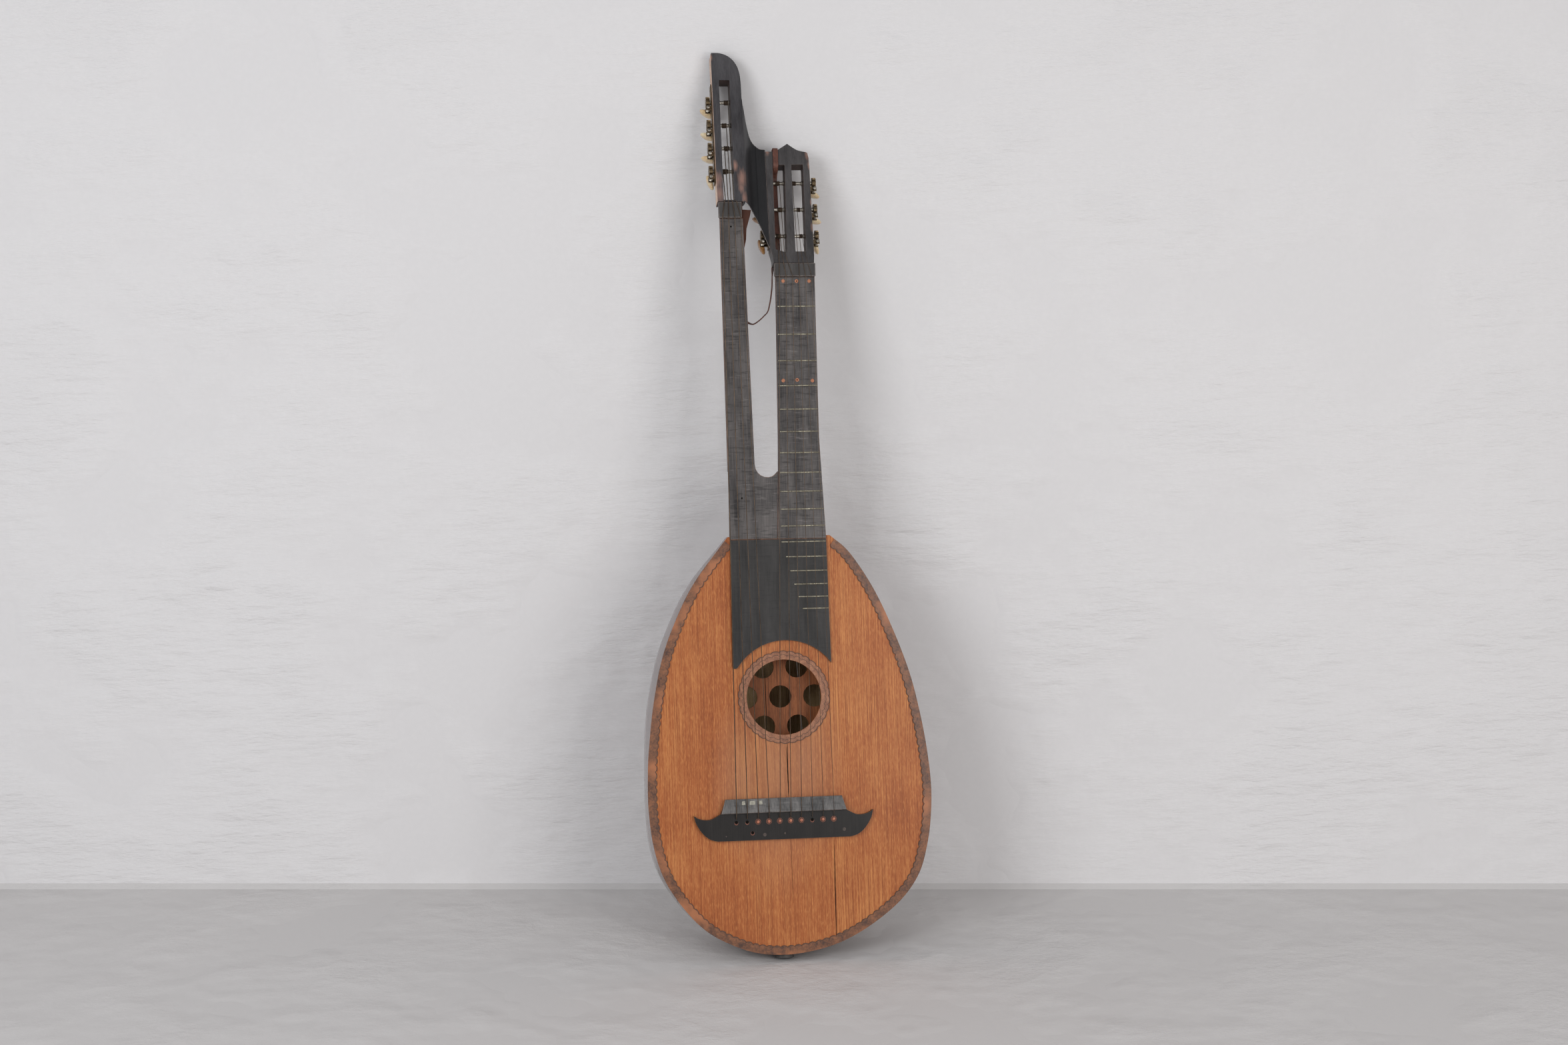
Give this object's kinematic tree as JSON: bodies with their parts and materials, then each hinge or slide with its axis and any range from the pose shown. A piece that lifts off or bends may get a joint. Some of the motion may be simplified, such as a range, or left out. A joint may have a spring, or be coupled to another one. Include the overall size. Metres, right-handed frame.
{
  "type": "swedish lute",
  "caption": "Plucked lute with a ribbed bowl, a fretted neck, a parallel bass neck, and slotted heads whose worms turn geared string rollers.",
  "frame": {"origin": "middle of the flat underside of the foot at the bottom end of the body", "axes": "+Z from the foot to the heads, +Y from the soundboard to the back, +X towards the fretted neck, so the front faces -Y"},
  "size_m": [0.3316, 0.1325, 1.0588],
  "materials": {
    "spruce": "varnished straight-grained softwood",
    "dark_band": "dark inlaid band with a scrolled edge",
    "rosette": "inlaid ring with a scalloped edge",
    "sieve_wood": "plain softwood board",
    "rib_wood": "dark varnished wood, glossy",
    "inner_wood": "bare softwood",
    "neck_wood": "polished reddish-brown wood",
    "fingerboard": "worn black-stained wood, satin",
    "black_wood": "black-stained wood, satin",
    "bridge": "black polished wood",
    "saddle": "dark polished strip",
    "brass": "aged brass",
    "string": "dull metal string",
    "leather": "worn smooth leather"
  },
  "bodies": {
    "instrument": {"soundboard": "spruce", "edge_band": "dark_band", "rosette_ring": "rosette", "sieve_board": "sieve_wood", "rib_1": "rib_wood", "rib_2": "rib_wood", "rib_3": "rib_wood", "rib_4": "rib_wood", "rib_5": "rib_wood", "rib_6": "rib_wood", "rib_7": "rib_wood", "tail_block": "black_wood", "neck_block": "inner_wood", "fretted_neck": "neck_wood", "bass_neck": "neck_wood", "fretted_fingerboard": "fingerboard", "bass_fingerboard": "fingerboard", "body_fingerboard": "fingerboard", "bass_head": "black_wood", "fretted_head": "black_wood", "bass_nut": "black_wood", "fretted_nut": "black_wood", "bridge": "bridge", "saddle": "saddle", "upper_bar": "inner_wood", "lower_bar": "inner_wood", "leather_strap": "leather", "bass_tuner_plate": "brass", "left_tuner_plate": "brass", "right_tuner_plate": "brass", "bass_string_1": "string", "bass_string_2": "string", "bass_string_3": "string", "bass_string_4": "string", "fretted_string_1": "string", "fretted_string_2": "string", "fretted_string_3": "string", "fretted_string_4": "string", "fretted_string_5": "string", "fretted_string_6": "string"},
    "bass_machine_worm_1": {"bass_worm_1": "brass"},
    "bass_machine_worm_2": {"bass_worm_2": "brass"},
    "bass_machine_worm_3": {"bass_worm_3": "brass"},
    "bass_machine_worm_4": {"bass_worm_4": "brass"},
    "left_machine_worm_1": {"left_worm_1": "brass"},
    "left_machine_worm_2": {"left_worm_2": "brass"},
    "left_machine_worm_3": {"left_worm_3": "brass"},
    "right_machine_worm_1": {"right_worm_1": "brass"},
    "right_machine_worm_2": {"right_worm_2": "brass"},
    "right_machine_worm_3": {"right_worm_3": "brass"},
    "bass_machine_roller_1": {"bass_roller_1": "brass"},
    "bass_machine_roller_2": {"bass_roller_2": "brass"},
    "bass_machine_roller_3": {"bass_roller_3": "brass"},
    "bass_machine_roller_4": {"bass_roller_4": "brass"},
    "left_machine_roller_1": {"left_roller_1": "brass"},
    "left_machine_roller_2": {"left_roller_2": "brass"},
    "left_machine_roller_3": {"left_roller_3": "brass"},
    "right_machine_roller_1": {"right_roller_1": "brass"},
    "right_machine_roller_2": {"right_roller_2": "brass"},
    "right_machine_roller_3": {"right_roller_3": "brass"}
  },
  "joints": [
    {"name": "bass_roller_1_turn", "type": "hinge", "parent": "instrument", "child": "bass_machine_roller_1", "pos_m": [0.00628, 0.00654, 0.91401], "axis": [1, 0, 0], "continuous": true},
    {"name": "bass_roller_2_turn", "type": "hinge", "parent": "instrument", "child": "bass_machine_roller_2", "pos_m": [0.00628, 0.01156, 0.94247], "axis": [1, 0, 0], "continuous": true},
    {"name": "bass_roller_3_turn", "type": "hinge", "parent": "instrument", "child": "bass_machine_roller_3", "pos_m": [0.00628, 0.01658, 0.97093], "axis": [1, 0, 0], "continuous": true},
    {"name": "bass_roller_4_turn", "type": "hinge", "parent": "instrument", "child": "bass_machine_roller_4", "pos_m": [0.00628, 0.02159, 0.99939], "axis": [1, 0, 0], "continuous": true},
    {"name": "left_roller_1_turn", "type": "hinge", "parent": "instrument", "child": "left_machine_roller_1", "pos_m": [0.00628, 0.00572, 0.83738], "axis": [1, 0, 0], "continuous": true},
    {"name": "left_roller_2_turn", "type": "hinge", "parent": "instrument", "child": "left_machine_roller_2", "pos_m": [0.00628, 0.01145, 0.86988], "axis": [1, 0, 0], "continuous": true},
    {"name": "left_roller_3_turn", "type": "hinge", "parent": "instrument", "child": "left_machine_roller_3", "pos_m": [0.00628, 0.01718, 0.90237], "axis": [1, 0, 0], "continuous": true},
    {"name": "right_roller_1_turn", "type": "hinge", "parent": "instrument", "child": "right_machine_roller_1", "pos_m": [0.00628, 0.00572, 0.83738], "axis": [1, 0, 0], "continuous": true},
    {"name": "right_roller_2_turn", "type": "hinge", "parent": "instrument", "child": "right_machine_roller_2", "pos_m": [0.00628, 0.01145, 0.86988], "axis": [1, 0, 0], "continuous": true},
    {"name": "right_roller_3_turn", "type": "hinge", "parent": "instrument", "child": "right_machine_roller_3", "pos_m": [0.00628, 0.01718, 0.90237], "axis": [1, 0, 0], "continuous": true},
    {"name": "bass_worm_1_turn", "type": "hinge", "parent": "instrument", "child": "bass_machine_worm_1", "pos_m": [-0.06082, -0.00717, 0.90769], "axis": [0, 0.9848, -0.1736], "continuous": true},
    {"name": "bass_worm_2_turn", "type": "hinge", "parent": "instrument", "child": "bass_machine_worm_2", "pos_m": [-0.06082, -0.00215, 0.93615], "axis": [0, 0.9848, -0.1736], "continuous": true},
    {"name": "bass_worm_3_turn", "type": "hinge", "parent": "instrument", "child": "bass_machine_worm_3", "pos_m": [-0.06082, 0.00287, 0.96461], "axis": [0, 0.9848, -0.1736], "continuous": true},
    {"name": "bass_worm_4_turn", "type": "hinge", "parent": "instrument", "child": "bass_machine_worm_4", "pos_m": [-0.06082, 0.00789, 0.99307], "axis": [0, 0.9848, -0.1736], "continuous": true},
    {"name": "left_worm_1_turn", "type": "hinge", "parent": "instrument", "child": "left_machine_worm_1", "pos_m": [-0.00202, -0.00798, 0.83106], "axis": [0, 0.9848, -0.1736], "continuous": true},
    {"name": "left_worm_2_turn", "type": "hinge", "parent": "instrument", "child": "left_machine_worm_2", "pos_m": [-0.00202, -0.00225, 0.86356], "axis": [0, 0.9848, -0.1736], "continuous": true},
    {"name": "left_worm_3_turn", "type": "hinge", "parent": "instrument", "child": "left_machine_worm_3", "pos_m": [-0.00202, 0.00348, 0.89606], "axis": [0, 0.9848, -0.1736], "continuous": true},
    {"name": "right_worm_1_turn", "type": "hinge", "parent": "instrument", "child": "right_machine_worm_1", "pos_m": [0.06198, -0.00798, 0.83106], "axis": [0, 0.9848, -0.1736], "continuous": true},
    {"name": "right_worm_2_turn", "type": "hinge", "parent": "instrument", "child": "right_machine_worm_2", "pos_m": [0.06198, -0.00225, 0.86356], "axis": [0, 0.9848, -0.1736], "continuous": true},
    {"name": "right_worm_3_turn", "type": "hinge", "parent": "instrument", "child": "right_machine_worm_3", "pos_m": [0.06198, 0.00348, 0.89606], "axis": [0, 0.9848, -0.1736], "continuous": true}
  ],
  "couplings": [
    {"joint": "bass_roller_1_turn", "follows": "bass_worm_1_turn", "ratio": -0.071429},
    {"joint": "bass_roller_2_turn", "follows": "bass_worm_2_turn", "ratio": -0.071429},
    {"joint": "bass_roller_3_turn", "follows": "bass_worm_3_turn", "ratio": -0.071429},
    {"joint": "bass_roller_4_turn", "follows": "bass_worm_4_turn", "ratio": -0.071429},
    {"joint": "left_roller_1_turn", "follows": "left_worm_1_turn", "ratio": -0.071429},
    {"joint": "left_roller_2_turn", "follows": "left_worm_2_turn", "ratio": -0.071429},
    {"joint": "left_roller_3_turn", "follows": "left_worm_3_turn", "ratio": -0.071429},
    {"joint": "right_roller_1_turn", "follows": "right_worm_1_turn", "ratio": -0.071429},
    {"joint": "right_roller_2_turn", "follows": "right_worm_2_turn", "ratio": -0.071429},
    {"joint": "right_roller_3_turn", "follows": "right_worm_3_turn", "ratio": -0.071429}
  ]
}
